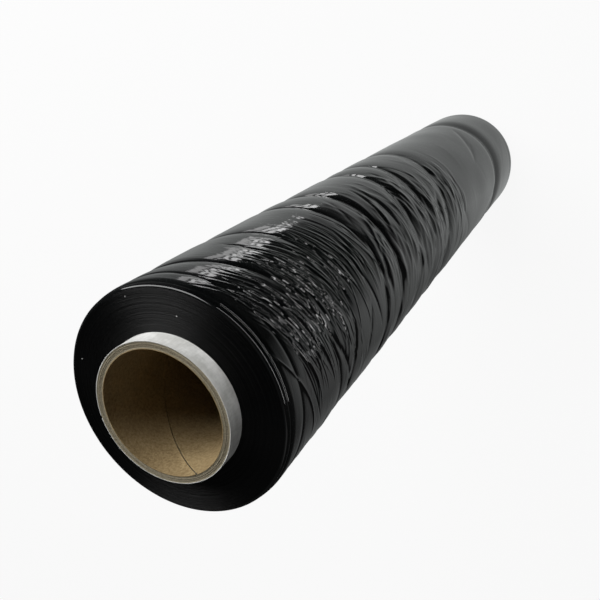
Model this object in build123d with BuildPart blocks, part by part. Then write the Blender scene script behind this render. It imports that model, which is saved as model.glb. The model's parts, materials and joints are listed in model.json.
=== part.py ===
"""A hand roll of stretch wrap: cling film wound on a spiral-wound paperboard core.

The roll stands on one end with its axis along +Z, and the origin is the centre of that end.
"""

import os

from build123d import *

# Driving dimensions, in millimetres
film_width = 500.0
film_diameter = 96.0
core_diameter = 59.0
core_wall = 3.4
core_stub = 8.0

# Finish of the edges
core_edge_break = 0.3
film_edge_radius = 1.0

# Waists where the film was pulled tight, each a shallow round hollow all the way round.
# The heights are measured down from the upper end of the film.
waist_distances = [12.0, 41.0, 70.0, 117.0, 143.0, 193.0, 222.0, 264.0, 428.0]
waist_depth = 0.5
waist_half_width = 3.5

# Worked out from the driving dimensions
film_radius = film_diameter / 2
core_radius = core_diameter / 2
bore_radius = core_radius - core_wall
core_length = film_width + 2 * core_stub
film_top = core_stub + film_width
film_middle = core_stub + film_width / 2


# The core is one tube. Its plies are glued into a single wall.
with BuildPart() as core_tube:
    with BuildSketch(Plane.XY):
        Circle(core_radius)
        Circle(bore_radius, mode=Mode.SUBTRACT)
    extrude(amount=core_length)
    end_rings = core_tube.edges().filter_by(GeomType.CIRCLE)
    outer_end_rings = end_rings.filter_by(lambda ring: ring.radius > bore_radius + core_wall / 2)
    chamfer(outer_end_rings, core_edge_break)

core_tube.part.label = "core_tube"


# The film is one winding. Half of its section is drawn beside the axis and turned round it.
with BuildPart() as film_winding:
    with BuildSketch(Plane.XZ):
        with Locations(((core_radius + film_radius) / 2, film_middle)):
            Rectangle(film_radius - core_radius, film_width)
        outer_corners = vertices().group_by(Axis.X)[-1]
        fillet(outer_corners, film_edge_radius)
        with Locations(*[(film_radius, film_top - distance) for distance in waist_distances]):
            Ellipse(waist_depth, waist_half_width, mode=Mode.SUBTRACT)
    revolve(axis=Axis.Z)

film_winding.part.label = "film_winding"


os.makedirs("parts", exist_ok=True)
export_step(core_tube.part, "parts/core_tube.step")
export_step(film_winding.part, "parts/film_winding.step")

print(f"core bore {2 * bore_radius:.1f} mm, length {core_length:.0f} mm")
print(f"film {film_diameter:.0f} mm across, {film_width:.0f} mm wide")
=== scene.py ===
# %% [markdown]
# # A roll of black stretch wrap
#
# The CAD model gives two pieces at their real size: the paperboard core and the film wound on it.
# This lesson keeps both sizes and gives each piece its looks. The film becomes a creased, glossy
# skin with its cut turns showing at the ends, and the core becomes board with plies and a seam.
# Everything is in metres, and the roll stands on the floor at height zero.

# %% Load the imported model
import json
import math

import bpy
import numpy as np
from mathutils import Matrix, Vector


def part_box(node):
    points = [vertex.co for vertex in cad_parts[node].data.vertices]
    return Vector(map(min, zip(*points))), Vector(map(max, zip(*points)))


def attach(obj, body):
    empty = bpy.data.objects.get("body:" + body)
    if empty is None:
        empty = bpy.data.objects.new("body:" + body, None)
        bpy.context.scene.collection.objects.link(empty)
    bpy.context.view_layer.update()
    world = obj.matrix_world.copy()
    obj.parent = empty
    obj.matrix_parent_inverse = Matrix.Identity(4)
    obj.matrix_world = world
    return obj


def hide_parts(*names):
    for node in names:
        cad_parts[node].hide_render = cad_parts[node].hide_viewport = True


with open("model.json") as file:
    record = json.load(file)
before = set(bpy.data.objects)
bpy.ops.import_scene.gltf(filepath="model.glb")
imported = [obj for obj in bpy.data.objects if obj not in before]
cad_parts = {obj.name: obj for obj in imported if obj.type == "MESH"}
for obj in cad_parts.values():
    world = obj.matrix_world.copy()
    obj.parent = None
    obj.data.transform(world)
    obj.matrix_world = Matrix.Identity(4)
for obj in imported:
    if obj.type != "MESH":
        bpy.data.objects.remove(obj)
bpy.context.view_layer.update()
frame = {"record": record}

# %% [markdown]
# ## Sizes
#
# Every size comes from the frame, so a change in the CAD model carries through. The angle "turn"
# starts at +Y and runs towards +X, and "depth" is the distance down from the film's upper end.
# Depths and crease heights are easiest to think about in millimetres, so MM converts them.

# %% Read the sizes from the frame
MM = 0.001
core_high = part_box("core_tube")[1]
film_low, film_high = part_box("film_winding")
core_radius = core_high.x
film_radius = film_high.x
core_length = core_high.z
film_bottom = film_low.z
film_top = film_high.z
film_width = film_top - film_bottom
bore = next(m for m in frame["record"]["mounts"] if m["name"] == "core_bore")
bore_radius = bore["dims"]["r_mm"] * MM
print(f"film {film_width:.3f} wide, {2 * film_radius:.3f} across")
print(f"core {2 * core_radius:.3f} outside, {2 * bore_radius:.4f} inside")

# %% [markdown]
# ## Camera
#
# The picture looks past the upper end and down the length of the roll, close enough for strong
# perspective. The camera is rolled until +X lies level across the picture, so the roll seems to lie
# away from the viewer. A plain matrix says this more clearly than three rotation angles would.

# %% Place the camera
camera_place = Vector((0.1578, 0.1107, 0.6946))
looks_at = Vector((-0.0576, -0.0414, 0.2820))
back = (camera_place - looks_at).normalized()
picture_up = back.cross(Vector((1, 0, 0))).normalized()
picture_right = picture_up.cross(back)

camera_data = bpy.data.cameras.new("camera")
camera_data.sensor_width = 36
camera_data.lens = 41.53
camera = bpy.data.objects.new("camera", camera_data)
bpy.context.scene.collection.objects.link(camera)
turned = Matrix((picture_right, picture_up, back)).transposed().to_4x4()
camera.matrix_world = Matrix.Translation(camera_place) @ turned
bpy.context.scene.camera = camera

# %% [markdown]
# ## Meshes from rows and columns
#
# Film and board are both skins bent round an axis. Each can be seen as a flat sheet of rows and
# columns: a column is a direction round the axis and a row is a step across the sheet. One helper
# turns such a grid into a mesh. Quads keep the shading even, and numpy makes it quick.

# %% Make a mesh from a grid of points
def grid_mesh(name, points, closed=True):
    """A mesh from points[row, column]. Closed grids join their last column to the first."""
    rows, columns, _ = points.shape
    index = np.arange(rows * columns).reshape(rows, columns)
    after = np.roll(index, -1, axis=1)
    if not closed:
        index = index[:, :-1]
        after = after[:, :-1]
    quads = np.stack([index[:-1], after[:-1], after[1:], index[1:]], axis=-1).reshape(-1, 4)
    mesh = bpy.data.meshes.new(name)
    mesh.vertices.add(rows * columns)
    mesh.vertices.foreach_set("co", points.astype(np.float32).ravel())
    mesh.loops.add(quads.size)
    mesh.loops.foreach_set("vertex_index", quads.astype(np.int32).ravel())
    mesh.polygons.add(len(quads))
    mesh.polygons.foreach_set("loop_start", np.arange(0, quads.size, 4, dtype=np.int32))
    mesh.polygons.foreach_set("loop_total", np.full(len(quads), 4, dtype=np.int32))
    mesh.update(calc_edges=True)
    mesh.shade_smooth()
    piece = bpy.data.objects.new(name, mesh)
    bpy.context.scene.collection.objects.link(piece)
    return piece


def round_axis(turn, radius, height):
    """Points at a turn in degrees, a radius and a height, all of one shape."""
    angle = np.radians(turn)
    return np.stack([radius * np.sin(angle), radius * np.cos(angle), height], axis=-1)


# %% [markdown]
# ## The film's outer turn
#
# Stretch film is wound under tension. Where it is gathered it pulls a waist into the roll, between
# waists it stands a little proud, and slanting wrinkles run into the waists. A cloth simulation
# could make such folds, but not at chosen places, so the skin is a sum of listed creases and
# seeded wrinkles, each a small change of radius.

# %% Lay out the film's rows and columns
COLUMNS = 400
EDGE_ROUND = 1.1
width_mm = film_width / MM
column_turn = np.arange(COLUMNS) * 360 / COLUMNS
corner = EDGE_ROUND * (1 - np.cos(np.radians(np.arange(0, 90, 15))))
row_depth = np.concatenate([
    corner,
    np.arange(EDGE_ROUND, 3.6, 0.14),
    np.arange(3.6, 60, 0.26),
    np.arange(60, 120, 0.29),
    np.arange(120, 300, 0.78),
    np.arange(300, width_mm - EDGE_ROUND, 1.25),
    width_mm - corner[::-1],
])
relief = np.zeros((len(row_depth), COLUMNS))
arc_per_degree = film_radius / MM * math.pi / 180
print(f"film skin: {len(row_depth)} rows by {COLUMNS} columns")


# %% A smooth line round the roll
def round_line(points, softness=7.0):
    """A depth or strength for every column, through (turn, value) points, rounded at its corners."""
    turns, values = zip(*sorted(points))
    line = np.interp(column_turn, turns, values, period=360)
    waves = np.fft.rfftfreq(COLUMNS, 360 / COLUMNS)
    return np.fft.irfft(np.fft.rfft(line) * np.exp(-2 * (math.pi * softness * waves) ** 2), COLUMNS)


# %% [markdown]
# ### Waists
#
# A waist has two parts. A broad soft hollow is the film drawn in, and a narrow pinched line inside
# it is the fold itself. The line wanders as it goes round, and its strength changes, so each waist
# takes a list of places and a list of strengths.

# %% Press the waists in
def press_waist(line, depth, strength=None, pinch=0.8, hollow=5.0, share=0.5):
    """Lowers the relief along a line. Sizes are in millimetres; share is the pinched part."""
    centre = round_line(line)
    power = round_line(strength) if strength else np.ones(COLUMNS)
    across = row_depth[:, None] - centre[None, :]
    narrow = np.exp(1 - np.sqrt(1 + (across / pinch) ** 2))
    broad = np.exp(-((across / hollow) ** 2))
    relief[:] -= depth * power[None, :] * (share * narrow + (1 - share) * broad)


press_waist([(0, 12), (90, 12), (180, 13), (270, 11)], 0.28, pinch=0.5, hollow=2.0, share=0.7)
press_waist(
    [(-20, 24), (0, 26), (20, 30), (50, 39), (80, 46), (103, 51), (130, 57), (190, 52), (270, 34)],
    0.75, [(-20, 1), (60, 0.8), (105, 1), (180, 0.7), (270, 0.8)], pinch=0.8, hollow=4.5,
)
press_waist(
    [(-20, 66), (3, 68), (20, 71), (50, 72), (70, 72), (98, 68), (130, 66), (200, 71), (280, 63)],
    0.85, [(-20, 1), (60, 0.7), (100, 0.9), (200, 1), (280, 0.8)], pinch=0.9, hollow=5.5,
)
press_waist(
    [(-20, 118), (0, 117), (53, 116), (100, 114), (130, 112), (200, 119), (280, 122)],
    1.10, [(-20, 1), (40, 1), (60, 0.6), (110, 1), (200, 0.8), (290, 0.9)], 1.0, 6.0, 0.55,
)
press_waist(
    [(-20, 147), (0, 145), (53, 142), (87, 141), (130, 138), (200, 144), (280, 149)],
    1.50, [(-20, 1), (90, 1), (200, 0.8), (290, 0.9)], 1.2, 7.0, 0.55,
)
press_waist(
    [(-20, 207), (-5, 202), (28, 195), (52, 185), (80, 178), (130, 170), (200, 184), (280, 203)],
    1.50, [(0, 1), (50, 0.8), (80, 0.5), (120, 0.9), (200, 0.8), (290, 1)], 1.5, 8.0, 0.5,
)
press_waist(
    [(-20, 235), (20, 225), (43, 218), (62, 214), (100, 208), (130, 205), (200, 217), (280, 233)],
    1.50, [(0, 1), (55, 1), (80, 0.5), (120, 0.8), (200, 0.8), (290, 1)], 1.6, 8.0, 0.5,
)
press_waist(
    [(-20, 280), (-5, 277), (25, 270), (55, 260), (80, 252), (110, 243), (150, 240), (280, 275)],
    1.80, [(0, 0.7), (60, 1), (80, 1.1), (110, 1), (200, 0.6), (290, 0.7)], 1.9, 8.5, 0.5,
)
press_waist(
    [(-20, 428), (30, 427), (70, 426), (100, 421), (130, 414), (200, 424), (280, 431)],
    2.60, [(0, 0.6), (30, 1), (60, 0.8), (90, 1), (130, 1.1), (200, 0.7)], 3.0, 9.0, 0.35,
)
print(f"deepest waist {-relief.min():.2f} mm")

# %% [markdown]
# ### Single creases
#
# Some folds cross between waists. Each is a ridge or a groove of its own length and slant, which
# fades to nothing at both ends. The same helper makes them one by one and, later, by the hundred.

# %% Raise one crease
def raise_crease(turn, depth, length, slope, height, width, bend=0.0):
    """A pinched ridge, or a groove if height is negative. Slope is depth gained per length."""
    along = ((column_turn - turn + 180) % 360 - 180) * arc_per_degree
    near = np.flatnonzero(np.abs(along) < length / 2)
    if not len(near):
        return
    along = along[near]
    fade = 1 - (2 * along / length) ** 2
    centre = depth + slope * along + bend * along ** 2
    reach = 6 * width
    low = np.searchsorted(row_depth, centre.min() - reach)
    high = np.searchsorted(row_depth, centre.max() + reach)
    across = (row_depth[low:high, None] - centre[None, :]) / math.hypot(1, slope)
    spread = width * (0.45 + 0.55 * fade)
    shape = np.exp(1 - np.sqrt(1 + (across / spread) ** 2))
    edge = np.clip((reach - np.abs(across)) / reach, 0, 1)
    relief[low:high, near] += height * fade * shape * edge


hand_placed = [
    (15, 50, 26, 0.02, -0.40, 0.8, 0.0),
    (105, 61, 44, 0.58, -0.60, 1.0, 0.0),
    (80, 99, 40, 0.33, -0.55, 0.8, 0.0),
    (97, 89, 28, -0.32, -0.55, 1.2, 0.0),
    (92, 70, 20, -0.20, -0.40, 0.9, 0.0),
    (70, 41, 46, 0.45, -0.45, 0.6, 0.0),
    (84, 50, 34, 0.50, -0.50, 0.7, 0.0),
    (68, 238, 18, -0.80, -0.90, 2.6, 0.0),
    (105, 236, 26, 0.45, -0.90, 3.2, 0.0),
    (52, 268, 16, 0.30, -0.70, 2.4, 0.0),
    (100, 300, 44, 0.95, -0.40, 1.8, 0.0),
    (37, 388, 30, -1.15, -0.55, 2.2, 0.0),
    (53, 375, 16, -1.60, -0.45, 1.8, 0.0),
    (112, 395, 34, -1.40, -0.60, 4.0, 0.0),
]
for crease in hand_placed:
    raise_crease(*crease)
print(f"{len(hand_placed)} creases placed by hand")

# %% [markdown]
# ### Wrinkles
#
# Fine wrinkles come in patches. Near the upper end they are short, sharp and close together, and
# they slant the way that the film was pulled. Lower down they are broader and softer, and the last
# third is nearly smooth. A seeded generator scatters each patch, so every run gives the same roll.

# %% Scatter the wrinkles
dice = np.random.default_rng(20)


def scatter(count, depths, length, slope, height, width, patch=None):
    """Creases with random places and sizes. Each range is a (low, high) pair."""
    for _ in range(count):
        turn = dice.uniform(0, 360) if patch is None else dice.normal(*patch)
        place = dice.uniform(*depths)
        size = dice.uniform(0, 1) ** 1.6
        reach = length[0] + (length[1] - length[0]) * size
        tall = (height[0] + (height[1] - height[0]) * size) * dice.choice([1, 1, -1])
        tall *= np.interp(turn, [-40, -25, 18, 34, 320, 335], [1, 0.15, 0.15, 1, 1, 0.15])
        thick = dice.uniform(*width)
        raise_crease(turn, place, reach, dice.normal(*slope), tall, thick, dice.normal(0, 0.004))


scatter(170, (14, 68), (18, 60), (0.36, 0.10), (0.08, 0.34), (0.24, 0.42), (60, 13))
scatter(110, (40, 112), (14, 44), (0.18, 0.12), (0.08, 0.32), (0.26, 0.46), (52, 15))
scatter(260, (14, 112), (10, 38), (0.14, 0.18), (0.04, 0.16), (0.35, 0.80))
scatter(320, (112, 295), (10, 36), (-0.10, 0.20), (0.10, 0.42), (0.8, 1.6), (66, 28))
scatter(420, (112, 295), (10, 36), (-0.04, 0.20), (0.06, 0.28), (0.8, 1.6))
scatter(60, (300, 490), (14, 46), (-0.30, 0.45), (0.03, 0.14), (1.6, 3.2))
print(f"relief runs from {relief.min():.2f} to {relief.max():.2f} mm")

# %% [markdown]
# ### Soft unevenness
#
# No wound roll is a true cylinder. Film that is a touch thicker on one side builds up as low bands,
# and handling leaves shallow flats. A few slow waves, round and along, take the machined look off.

# %% Add slow waves
turn_angle = np.radians(column_turn)[None, :]
along_roll = row_depth[:, None]
for _ in range(14):
    rounds = dice.integers(0, 6)
    wave_length = dice.uniform(35, 220)
    phase_round, phase_along = dice.uniform(0, 2 * math.pi, 2)
    strength = dice.uniform(0.02, 0.07)
    wave = np.cos(rounds * turn_angle + phase_round)
    relief += strength * wave * np.sin(2 * math.pi * along_roll / wave_length + phase_along)

# %% [markdown]
# ### The edges of the outer turn
#
# Between its waists the film stands a little proud of its nominal size, so the whole skin is lifted
# by a small amount that fades out at the ends. There the film turns over a small round into the end
# face. The outermost turns don't line up exactly, so a fine step runs round just in from the edge.

# %% Round the ends and make the skin
PROUD = 0.55
from_end = np.minimum(along_roll, width_mm - along_roll)
relief += PROUD
fade_in = np.clip(from_end / 6.0, 0, 1)
relief *= fade_in * fade_in * (3 - 2 * fade_in)
step_depth = 2.4 + 0.35 * np.sin(turn_angle + 0.8) + 0.15 * np.sin(3 * turn_angle)
relief -= 0.08 * (1 - np.tanh((along_roll - step_depth) / 0.24))
relief -= 0.10 * np.exp(-(((along_roll - step_depth) / 0.30) ** 2))
rounded = np.clip(1 - from_end / EDGE_ROUND, 0, 1)
drop = EDGE_ROUND * (1 - np.sqrt(1 - rounded ** 2))
skin_radius = film_radius + (relief - drop) * MM
skin_height = np.broadcast_to(film_top - along_roll * MM, skin_radius.shape)
skin = round_axis(np.broadcast_to(column_turn, skin_radius.shape), skin_radius, skin_height)
print(f"skin reaches {skin_radius.max() / MM:.2f} mm from the axis")


# %% [markdown]
# ### Cut the skin into bands
#
# A mesh this fine is easier to handle in parts, so the skin is stored as four bands that share
# their edge rows. Each mesh would shade its own edge from its own faces and show a hairline, so the
# directions of the surface are worked out once for the whole skin and given to every band.

# %% Work out the surface directions and store the bands
def surface_directions(points):
    """One outward direction for each point of a grid whose last column joins its first."""
    round_step = np.roll(points, -1, axis=1) - np.roll(points, 1, axis=1)
    down_step = np.gradient(points, axis=0)
    direction = np.cross(down_step, round_step)
    return direction / np.linalg.norm(direction, axis=-1, keepdims=True)


skin_direction = surface_directions(skin)
outward = (skin_direction[..., :2] * skin[..., :2]).sum(axis=-1).mean()
skin_direction *= np.sign(outward)


def skin_band(name, low_depth, high_depth):
    """The rows of the skin between two depths, as a piece of its own."""
    first = np.searchsorted(row_depth, low_depth)
    last = np.searchsorted(row_depth, high_depth) + 1
    band = grid_mesh(name, skin[first:last])
    band.data.normals_split_custom_set_from_vertices(skin_direction[first:last].reshape(-1, 3))
    print(f"{name}: {2 * len(band.data.polygons)} triangles")
    return band


film_bands = [
    skin_band("film_band_1", 0, 60),
    skin_band("film_band_2", 60, 120),
    skin_band("film_band_3", 120, 300),
    skin_band("film_band_4", 300, width_mm),
]

# %% [markdown]
# ## The cut turns at the ends
#
# Seen from the end, the winding is hundreds of film edges side by side. They drift in and out by a
# few hundredths of a millimetre, in rings. Three random profiles across the radius, one plain and
# two that swing with the direction, give rings that are slightly off centre, as wound ones are.

# %% Build the end faces
def ring_noise(count, smooth, strength):
    """A random profile across the rings, smoothed over a number of steps."""
    window = np.hanning(smooth + 2)[1:-1]
    rough = np.convolve(dice.normal(0, 1, count + smooth), window / window.sum(), "valid")[:count]
    return strength * rough / rough.std()


def end_face(name, height, facing, rim_radius, ring_step):
    """A ring of cut turns. Facing is 1 for the upper end and -1 for the lower."""
    count = int((film_radius - core_radius) / MM / ring_step)
    share = np.linspace(0, 1, count)[:, None]
    radius = rim_radius[None, :] * (1 - share) + core_radius * share
    plain = ring_noise(count, 2, 0.028) + ring_noise(count, 14, 0.035)
    swing_a = ring_noise(count, 5, 0.012)
    swing_b = ring_noise(count, 5, 0.012)
    lift = plain[:, None] + swing_a[:, None] * np.cos(turn_angle) + swing_b[:, None] * np.sin(turn_angle)
    lift *= np.clip(share * 40, 0, 1)
    points = round_axis(np.broadcast_to(column_turn, radius.shape), radius, height + facing * lift * MM)
    return grid_mesh(name, points[::-1] if facing > 0 else points)


upper_turns = end_face("film_upper_turns", film_top, 1, skin_radius[0], 0.125)
lower_turns = end_face("film_lower_turns", film_bottom, -1, skin_radius[-1], 0.20)
print(f"end faces: {2 * len(upper_turns.data.polygons)} triangles each")

# %% [markdown]
# ## The core
#
# A paper tube is wound from long strips of board that run round it as a screw. The innermost strip
# shows its butt joint as a slanting line inside the bore, and the outermost here is white paper.
# Each strip is built as it is wound: a ribbon on a screw path, cut off square at the tube's ends.
# The plies between them are one wall with the lines of the plies in its end faces.

# %% Wind a strip of paper round the axis
STRIP_PITCH = 130.0
length_mm = core_length / MM


def closed_loop(section):
    """Repeats a grid's first row at its end, so that its section closes."""
    return np.concatenate([section, section[:1]])


def wound_strip(name, inner, outer, joint_turn, gap, lip):
    """A ribbon between two radii in mm. Its joint meets the upper end at joint_turn degrees."""
    screw = STRIP_PITCH / 360
    turns = np.arange(joint_turn - 360, joint_turn + length_mm / screw + 1, 2.5)
    top = length_mm - (turns - joint_turn) * screw
    bottom = top - STRIP_PITCH + gap
    top = np.clip(top, 0, length_mm)
    bottom = np.clip(bottom, 0, length_mm)
    kept = top - bottom > 0.02
    turns, top, bottom = turns[kept], top[kept], bottom[kept]
    share = np.array([0, 0.004, 0.012, 0.03, 0.1, 0.25, 0.4, 0.55, 0.7, 0.85, 0.95, 0.985, 0.996, 1])
    height = bottom + share[:, None] * (top - bottom)
    from_joint = np.minimum(height - bottom, 9)
    raised = lip * np.exp(-((from_joint / 0.9) ** 2)) * (bottom > 0.5)
    near = inner - raised
    ripple = 0.03 * np.sin(np.radians(turns) * 23 + 0.7 * np.sin(np.radians(turns) * 5))
    face_a = round_axis(np.broadcast_to(turns, height.shape), (near + ripple) * MM, height * MM)
    face_b = round_axis(turns, np.full(len(turns), outer * MM), top * MM)[None]
    face_c = round_axis(turns, np.full(len(turns), outer * MM), bottom * MM)[None]
    return grid_mesh(name, closed_loop(np.concatenate([face_a, face_b, face_c])), closed=False)


INNER_PLY = 0.38
OUTER_PLY = 0.30
bore_mm = bore_radius / MM
core_mm = core_radius / MM
inner_ply = wound_strip("core_inner_ply", bore_mm, bore_mm + INNER_PLY, 156, 0.80, 0.34)
outer_ply = wound_strip("core_outer_ply", core_mm - OUTER_PLY, core_mm, 262, 0.45, 0.0)
print(f"plies: {len(inner_ply.data.polygons)} and {len(outer_ply.data.polygons)} faces")

# %% [markdown]
# ### The wall of the core
#
# Most of the wall is hidden. Its cut ends are not: the saw leaves a fuzzy face in which each ply is a
# ring at a slightly different height, with a fine valley where two plies are glued. The two ends are
# height fields like the skin, and the grid runs from one to the other and closes on itself.

# %% Build the wall between the inner and outer plies
PLY_COUNT = 7
WALL_COLUMNS = 300
wall_turn = np.arange(WALL_COLUMNS) * 360 / WALL_COLUMNS


def wall_end(height, facing):
    """One cut end of the wall: a row for each step across the plies, from inside to outside."""
    inner, outer = bore_mm + INNER_PLY, core_mm - OUTER_PLY
    share = np.linspace(0, 1, 44)[:, None]
    angle = np.radians(wall_turn)[None, :]
    wander = 0.10 * np.sin(2 * angle + 1) + 0.06 * np.sin(5 * angle + 2)
    ply = (share * PLY_COUNT + wander) % 1
    line = np.exp(-((np.minimum(ply, 1 - ply) / 0.10) ** 2))
    number = np.floor(share * PLY_COUNT + wander).astype(int) % 8
    level = dice.normal(0, 0.05, 8)[number]
    fibres = dice.normal(0, 0.022, (44, WALL_COLUMNS))
    lift = (level + fibres - 0.10 * line - 0.08) * np.clip(6 * np.minimum(share, 1 - share), 0, 1)
    radius = np.broadcast_to(inner + (outer - inner) * share, lift.shape)
    return round_axis(np.broadcast_to(wall_turn, lift.shape), radius * MM, height + facing * lift * MM)


lower_wall = wall_end(0.0, -1)
upper_wall = wall_end(core_length, 1)
wall_points = closed_loop(np.concatenate([upper_wall, lower_wall[::-1]]))
core_wall = grid_mesh("core_wall", wall_points)
print(f"wall: {2 * len(core_wall.data.polygons)} triangles")


# %% [markdown]
# ## Materials
#
# Each material is a small tree of nodes that starts from the piece's own coordinates in metres, so
# a pattern has its real size. Small helpers keep the trees short: one starts a material, one adds a
# node with its inputs filled, and the others add the few patterns that come back again and again.

# %% Helpers for node trees
def start_material(name):
    material = bpy.data.materials.new(name)
    material.use_nodes = True
    tree = material.node_tree
    shader = tree.nodes["Principled BSDF"]
    place = tree.nodes.new("ShaderNodeTexCoord").outputs["Object"]
    return material, tree, shader, place


def add_node(tree, kind, inputs=None, **settings):
    """A node with its settings made, and its inputs given as numbers or linked from sockets."""
    node = tree.nodes.new("ShaderNode" + kind)
    for key, value in settings.items():
        setattr(node, key, value)
    for key, value in (inputs or {}).items():
        if isinstance(value, bpy.types.NodeSocket):
            tree.links.new(value, node.inputs[key])
        else:
            node.inputs[key].default_value = value
    return node


def stretched_noise(tree, place, per_metre, detail=3.0, roughness=0.55, distortion=0.0):
    """Noise with its own number of blotches per metre along X, Y and Z."""
    scaled = add_node(tree, "Mapping", {"Vector": place, "Scale": per_metre})
    numbers = {"Scale": 1.0, "Detail": detail, "Roughness": roughness, "Distortion": distortion}
    noise = add_node(tree, "TexNoise", {"Vector": scaled.outputs[0], **numbers})
    return noise.outputs["Fac"]


def remap(tree, value, low=0.0, high=1.0, to_low=0.0, to_high=1.0):
    """Stretches the part of a value between low and high over a new range."""
    ends = {"From Min": low, "From Max": high, "To Min": to_low, "To Max": to_high}
    return add_node(tree, "MapRange", {"Value": value, **ends}).outputs[0]


def smooth_remap(tree, value, low, high, to_low=0.0, to_high=1.0):
    node = remap(tree, value, low, high, to_low, to_high).node
    node.interpolation_type = "SMOOTHSTEP"
    return node.outputs[0]


def blend_colours(tree, amount, first, second):
    mix = add_node(tree, "Mix", data_type="RGBA")
    for socket, value in ((mix.inputs[0], amount), (mix.inputs[6], first), (mix.inputs[7], second)):
        if isinstance(value, bpy.types.NodeSocket):
            tree.links.new(value, socket)
        else:
            socket.default_value = value
    return mix.outputs[2]


def axis_distance(tree, place):
    """The distance of a point from the roll's axis."""
    flat = add_node(tree, "VectorMath", {0: place, 1: (1, 1, 0)}, operation="MULTIPLY")
    return add_node(tree, "VectorMath", {0: flat.outputs[0]}, operation="LENGTH").outputs["Value"]


def ring_pattern(tree, radius, per_metre, detail):
    """Noise that changes with the radius alone, so it draws rings."""
    inputs = {"W": radius, "Scale": per_metre, "Detail": detail}
    return add_node(tree, "TexNoise", inputs, noise_dimensions="1D").outputs["Fac"]


def maths(tree, operation, first, second=0.0):
    return add_node(tree, "Math", {0: first, 1: second}, operation=operation).outputs[0]


def add_bump(tree, shader, layers):
    """Stacks bumps on the shader. Each layer is a height from 0 to 1 and its size in metres."""
    normal = None
    for height, size in layers:
        inputs = {"Height": height, "Distance": size, "Strength": 1.0}
        if normal is not None:
            inputs["Normal"] = normal
        normal = add_node(tree, "Bump", inputs).outputs[0]
    tree.links.new(normal, shader.inputs["Normal"])


# %% [markdown]
# ### Black film
#
# Stretch film is tinted through and very smooth, so nearly all that is seen of it is gloss. Under
# the modelled wrinkles lie finer ones. They are flat blots of noise, long round the roll and short
# along it, so they need no seam. A little dust lies on it, since the film charges as it unwinds.

# %% Make the black film
def dust_specks(tree, place, per_metre, size, share):
    """1 on scattered specks and 0 between them."""
    cells = add_node(tree, "TexVoronoi", {"Vector": place, "Scale": per_metre}, feature="F1")
    close = maths(tree, "LESS_THAN", cells.outputs["Distance"], size)
    colour = add_node(tree, "SeparateColor", {"Color": cells.outputs["Color"]})
    chosen = maths(tree, "LESS_THAN", colour.outputs[0], share)
    return maths(tree, "MULTIPLY", close, chosen)


def make_film():
    material, tree, shader, place = start_material("black_film")
    specks = dust_specks(tree, place, 260, 0.045, 0.10)
    black, dust = (0.0030, 0.0034, 0.0035, 1), (0.30, 0.30, 0.29, 1)
    tree.links.new(blend_colours(tree, specks, black, dust), shader.inputs["Base Color"])
    haze = stretched_noise(tree, place, (30, 30, 90), 4)
    tree.links.new(remap(tree, haze, 0.3, 0.7, 0.03, 0.07), shader.inputs["Roughness"])
    shader.inputs["IOR"].default_value = 1.5
    pulled = stretched_noise(tree, place, (60, 60, 420), 2, 0.5, 0.4)
    fine = stretched_noise(tree, place, (160, 160, 1500), 2, 0.5)
    add_bump(tree, shader, [(pulled, 0.00006), (fine, 0.000010)])
    return material


film_material = make_film()
for band in film_bands:
    band.data.materials.append(film_material)

# %% [markdown]
# ### Cut turns
#
# Light that meets the stacked edges mostly dies between them, so the end is a deeper black than the
# side. The edges do catch it along the rings, which draws a bright fan towards the lamp. Gloss that
# spreads across the rings does this: it is anisotropic. Its direction runs round the axis, and a
# rotation of a quarter turn lays the spread across the rings instead of along them.

# %% Make the cut turns
def make_cut_turns():
    material, tree, shader, place = start_material("film_cut_turns")
    specks = dust_specks(tree, place, 380, 0.10, 0.07)
    black, dust = (0.0006, 0.0007, 0.0008, 1), (0.55, 0.55, 0.54, 1)
    tree.links.new(blend_colours(tree, specks, black, dust), shader.inputs["Base Color"])
    radius = axis_distance(tree, place)
    rings = ring_pattern(tree, radius, 5200, 2)
    bands = ring_pattern(tree, radius, 700, 3)
    gloss = remap(tree, bands, 0.35, 0.65, 0.42, 0.60)
    tree.links.new(gloss, shader.inputs["Roughness"])
    shader.inputs["Specular IOR Level"].default_value = 0.22
    shader.inputs["Anisotropic"].default_value = 0.9
    shader.inputs["Anisotropic Rotation"].default_value = 0.25
    tangent = add_node(tree, "Tangent", direction_type="RADIAL", axis="Z")
    tree.links.new(tangent.outputs[0], shader.inputs["Tangent"])
    add_bump(tree, shader, [(rings, 0.00008)])
    return material


cut_turns_material = make_cut_turns()
for face in (upper_turns, lower_turns):
    face.data.materials.append(cut_turns_material)

# %% [markdown]
# ### Board and paper
#
# Core board is recycled brown paper: mottled, flecked with paler and darker fibres, and quite matt.
# The bore shows its face and the ends show its plies edge on. The outer strip is white lining paper
# that has picked up a little grey from handling.

# %% Make the board's face
def make_board_face():
    material, tree, shader, place = start_material("core_board_face")
    mottle = stretched_noise(tree, place, (60, 60, 60), 5, 0.6)
    flecks = stretched_noise(tree, place, (900, 900, 900), 3, 0.7)
    fibres = stretched_noise(tree, place, (420, 420, 1500), 3, 0.6, 0.4)
    dark, light = (0.170, 0.112, 0.048, 1), (0.42, 0.315, 0.165, 1)
    fleck_tone = remap(tree, flecks, 0.30, 0.72, 0, 0.7)
    mottle_tone = remap(tree, mottle, 0.3, 0.7, 0, 0.3)
    tone = maths(tree, "ADD", fleck_tone, mottle_tone)
    tree.links.new(blend_colours(tree, tone, dark, light), shader.inputs["Base Color"])
    shader.inputs["Roughness"].default_value = 0.85
    shader.inputs["Specular IOR Level"].default_value = 0.25
    add_bump(tree, shader, [(fibres, 0.00010), (flecks, 0.00008)])
    return material


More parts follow.
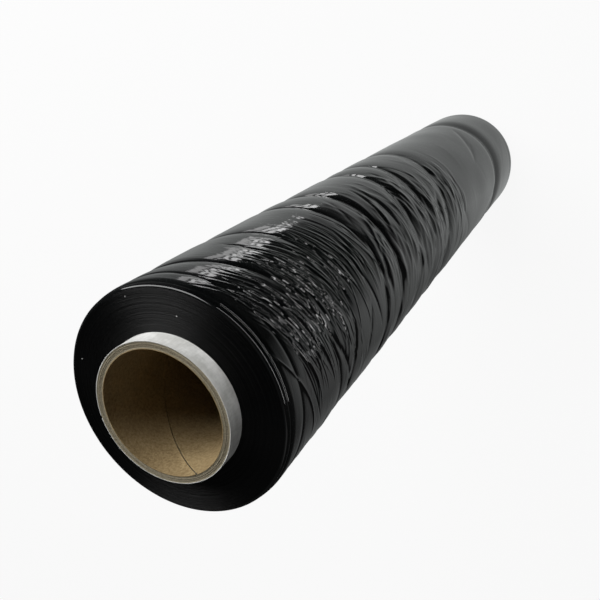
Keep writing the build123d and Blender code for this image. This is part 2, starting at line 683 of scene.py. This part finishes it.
# %% Make the board's cut edge
def make_board_edge():
    material, tree, shader, place = start_material("core_board_edge")
    sway = stretched_noise(tree, place, (55, 55, 55), 2)
    sideways = remap(tree, sway, 0, 1, -0.0003, 0.0003)
    wandering = maths(tree, "ADD", axis_distance(tree, place), sideways)
    plies = ring_pattern(tree, wandering, 2400, 2)
    flecks = stretched_noise(tree, place, (1700, 1700, 1700), 2, 0.7)
    ply_tone = remap(tree, plies, 0.32, 0.68, 0, 0.62)
    fleck_tone = remap(tree, flecks, 0.35, 0.75, 0, 0.5)
    tone = maths(tree, "ADD", ply_tone, fleck_tone)
    dark, light = (0.085, 0.066, 0.040, 1), (0.42, 0.375, 0.27, 1)
    tree.links.new(blend_colours(tree, tone, dark, light), shader.inputs["Base Color"])
    shader.inputs["Roughness"].default_value = 0.9
    shader.inputs["Specular IOR Level"].default_value = 0.2
    add_bump(tree, shader, [(flecks, 0.00016)])
    return material


# %% Make the white paper
def make_white_paper():
    material, tree, shader, place = start_material("core_white_paper")
    smudge = stretched_noise(tree, place, (90, 90, 160), 4, 0.6)
    grain = stretched_noise(tree, place, (1100, 1100, 260), 2)
    smudge_tone = remap(tree, smudge, 0.38, 0.62, 0, 0.75)
    grain_tone = remap(tree, grain, 0.3, 0.7, 0, 0.3)
    tone = maths(tree, "ADD", smudge_tone, grain_tone)
    grey, white = (0.50, 0.50, 0.475, 1), (0.78, 0.78, 0.76, 1)
    tree.links.new(blend_colours(tree, tone, grey, white), shader.inputs["Base Color"])
    shader.inputs["Roughness"].default_value = 0.6
    add_bump(tree, shader, [(grain, 0.00004)])
    return material


inner_ply.data.materials.append(make_board_face())
core_wall.data.materials.append(make_board_edge())
outer_ply.data.materials.append(make_white_paper())
for piece in (inner_ply, core_wall, outer_ply):
    print(piece.name, [m.name for m in piece.data.materials])

# %% [markdown]
# ## Floor and light
#
# The roll stands on a plain pale floor, which the camera sees nearly white and which keeps the roll's
# shadow. Glossy black shows nothing but what it mirrors, and a floor that was white in its gloss
# would turn the film grey. So for a glossy ray the floor glows with a painted pool of light round the
# foot of the roll, a painted reflection that no lamp casts. It fades with distance, and painted shade
# darkens it on the side away from the lamp and behind the +X side.

# %% Lay the floor
FLOOR_SIZE = 12.0
# POOL_EDGE and POOL_LEVELS set the painted pool of light that only glossy rays see on the floor.
POOL_EDGE = (0.40, 0.56)
POOL_LEVELS = (0.44, 0.05)
FLOOR_GLOW = 0.92


def flat_sheet(name, width, length):
    """A flat rectangle round the origin."""
    across = np.linspace(-width / 2, width / 2, 2)
    along = np.linspace(-length / 2, length / 2, 2)
    x, y = np.meshgrid(across, along)
    return grid_mesh(name, np.stack([x, y, 0 * x], axis=-1), closed=False)


def bare_tree(name):
    """A material whose tree holds only the output."""
    material = bpy.data.materials.new(name)
    material.use_nodes = True
    tree = material.node_tree
    tree.nodes.remove(tree.nodes["Principled BSDF"])
    return material, tree, tree.nodes["Material Output"].inputs["Surface"]


def straight_rays(tree, path):
    """1 for rays that come from the camera, through clear pieces or not."""
    return maths(tree, "MAXIMUM", path.outputs["Is Camera Ray"], path.outputs["Is Transmission Ray"])


def painted_reflection_pool(tree):
    """How bright a glossy ray finds the floor at each place: a painted pool of light with painted shade.
    """
    place = add_node(tree, "TexCoord").outputs["Object"]
    distance = add_node(tree, "VectorMath", {0: place}, operation="LENGTH").outputs["Value"]
    split = add_node(tree, "SeparateXYZ", {0: place})
    turn = maths(tree, "ARCTAN2", split.outputs[0], split.outputs[1])
    turn = maths(tree, "MULTIPLY", turn, 180 / math.pi)
    pool = remap(tree, distance, *POOL_EDGE, *POOL_LEVELS)
    # Painted shade: a dark sector behind the +X side, which only reflections see.
    painted_dark_sector = maths(tree, "MULTIPLY", remap(tree, turn, -18, -12), remap(tree, turn, 62, 105, 1, 0))
    painted_dark_sector = maths(tree, "MULTIPLY", painted_dark_sector, smooth_remap(tree, distance, 0.15, 0.35))
    pool = maths(tree, "MULTIPLY", pool, remap(tree, painted_dark_sector, 0, 1, 1, 0.07))
    # Painted shadow: the pool dims on the -Y side, away from the key lamp.
    painted_shadow_side = add_node(tree, "VectorMath", {0: place, 1: (-0.34, -0.94, 0)}, operation="DOT_PRODUCT")
    painted_shadow_side = maths(tree, "DIVIDE", painted_shadow_side.outputs["Value"], maths(tree, "ADD", distance, 0.03))
    return maths(tree, "MULTIPLY", pool, remap(tree, painted_shadow_side, 0.05, 0.7, 1, 0.35))


def make_floor_material():
    material, tree, surface = bare_tree("floor")
    path = add_node(tree, "LightPath")
    matt = add_node(tree, "BsdfDiffuse", {"Color": (0.80, 0.80, 0.80, 1)})
    glow = add_node(tree, "Emission", {"Color": (1, 1, 1, 1), "Strength": 1.0})
    seen = maths(tree, "MULTIPLY", straight_rays(tree, path), FLOOR_GLOW)
    direct = add_node(tree, "MixShader", {0: seen, 1: matt.outputs[0], 2: glow.outputs[0]})
    # The painted pool glows for glossy rays only; no lamp casts it.
    painted_pool_glow = add_node(tree, "Emission", {"Color": (0.97, 1.0, 0.99, 1), "Strength": painted_reflection_pool(tree)})
    glossy = path.outputs["Is Glossy Ray"]
    mix = add_node(tree, "MixShader", {0: glossy, 1: direct.outputs[0], 2: painted_pool_glow.outputs[0]})
    tree.links.new(mix.outputs[0], surface)
    return material


floor = flat_sheet("floor", FLOOR_SIZE, FLOOR_SIZE)
floor.data.materials.append(make_floor_material())
print("floor", round(floor.dimensions.x, 1), "across")

# %% [markdown]
# ### Sky
#
# The camera sees a white sky. For every other ray it is faint, so it only lifts the deepest shadows
# a little, and the inside of the core stays dark where the lamps don't reach.

# %% Light the sky
SKY_LEVEL = 0.06
world = bpy.data.worlds.new("sky")
bpy.context.scene.world = world
world.use_nodes = True
sky = world.node_tree
background = sky.nodes["Background"]
seen = straight_rays(sky, add_node(sky, "LightPath"))
sky.links.new(maths(sky, "MAXIMUM", seen, SKY_LEVEL), background.inputs["Strength"])
background.inputs["Color"].default_value = (1, 1, 1, 1)
print("sky", SKY_LEVEL)


# %% [markdown]
# ### Lamps
#
# The key is a wide soft lamp on the +Y side, about a third of the way up the sky. It whitens the top
# of the core, reaches a little way down its bore and draws the fan on the cut turns. A weak one
# stands across from it. Both aim at the upper end of the roll.

# %% Hang the lamps
AIM_BELOW_TOP = 0.1


def direction_to(turn, rise=0.0):
    """A unit vector at a turn round the axis and an angle above the level, both in degrees."""
    level_part = math.cos(math.radians(rise))
    angle = math.radians(turn)
    across = math.sin(angle) * level_part
    return Vector((across, math.cos(angle) * level_part, math.sin(math.radians(rise))))


def soft_lamp(name, turn, rise, distance, width, tall, power):
    """A rectangular lamp that faces the upper end of the roll."""
    away = direction_to(turn, rise)
    data = bpy.data.lights.new(name, "AREA")
    data.shape = "RECTANGLE"
    data.size = width
    data.size_y = tall
    data.energy = power
    lamp = bpy.data.objects.new(name, data)
    lamp.location = Vector((0, 0, film_top - AIM_BELOW_TOP)) + away * distance
    lamp.rotation_mode = "QUATERNION"
    lamp.rotation_quaternion = away.to_track_quat("Z", "Y")
    bpy.context.scene.collection.objects.link(lamp)
    return lamp


key = soft_lamp("key_lamp", -28, 32, 1.5, 1.7, 0.9, 30)
fill = soft_lamp("fill_lamp", 150, 40, 2.2, 1.2, 1.2, 1.2)
print("lamps", [lamp.name for lamp in (key, fill)])

# %% [markdown]
# ### Cards for the gloss to mirror
#
# A studio shapes the shine on a black object with cards and light panels. Three glowing strips
# on the floor are the panes of a window, and two panels stand farther off, where only a wrinkle's
# steep side mirrors them, as a glint. Nothing but a reflection sees them, so they add no light.

# %% Set out the cards
PANE_HEIGHT = 0.008


def ring_corner(turn, distance, height):
    """A corner at a turn, a distance from the axis and a height."""
    return (*(direction_to(turn) * distance).xy, height)


def mirrored_card(name, strength, corners):
    """A flat card of four corners that only reflections see. Strength 1 is white."""
    material, tree, surface = bare_tree(name)
    light = add_node(tree, "Emission", {"Color": (1, 1, 1, 1), "Strength": strength})
    tree.links.new(light.outputs[0], surface)
    a, b, c, d = (np.array(corner, dtype=float) for corner in corners)
    card = grid_mesh(name, np.array([[a, b], [d, c]]), closed=False)
    card.data.materials.append(material)
    card.visible_camera = False
    card.visible_diffuse = False
    card.visible_shadow = False
    card.visible_transmission = False
    return card


def window_pane(name, strength, turns, distances):
    """A pane on the floor between two turns and two distances from the axis."""
    (start, end), (near, far) = turns, distances
    around = ((start, near), (end, near), (end, far), (start, far))
    return mirrored_card(name, strength, [ring_corner(*place, PANE_HEIGHT) for place in around])


def standing_panel(name, strength, turns, heights, distance):
    """A panel that stands across two turns at a distance, between two heights."""
    (start, end), (low, high) = turns, heights
    around = ((start, high), (end, high), (end, low), (start, low))
    return mirrored_card(name, strength, [ring_corner(turn, distance, z) for turn, z in around])


cards = [
    window_pane("window_pane_a", 3.6, (-21, -15), (0.27, 0.46)),
    window_pane("window_pane_b", 3.0, (-28, -24), (0.27, 0.46)),
    window_pane("window_pane_c", 1.4, (-40, -31), (0.29, 0.46)),
    standing_panel("strip_light_a", 8.0, (20, 65), (0.20, 0.32), 1.0),
    standing_panel("strip_light_b", 8.0, (65, 110), (0.20, 0.32), 1.0),
]
print("cards", [card.name for card in cards])

# %% [markdown]
# ### Colour handling
#
# The Standard view shows each colour about as it was written, with no film-like curve over it.

# %% Set the picture's colour handling
bpy.context.scene.view_settings.view_transform = "Standard"

# %% [markdown]
# ## Join the pieces to the model
#
# Every piece rides on the one rigid body, and the CAD piece that it replaces is hidden.

# %% Ride and replace
for piece in (*film_bands, upper_turns, lower_turns):
    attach(piece, "root")
    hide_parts("film_winding")
for piece in (core_wall, inner_ply, outer_ply):
    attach(piece, "root")
    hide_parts("core_tube")
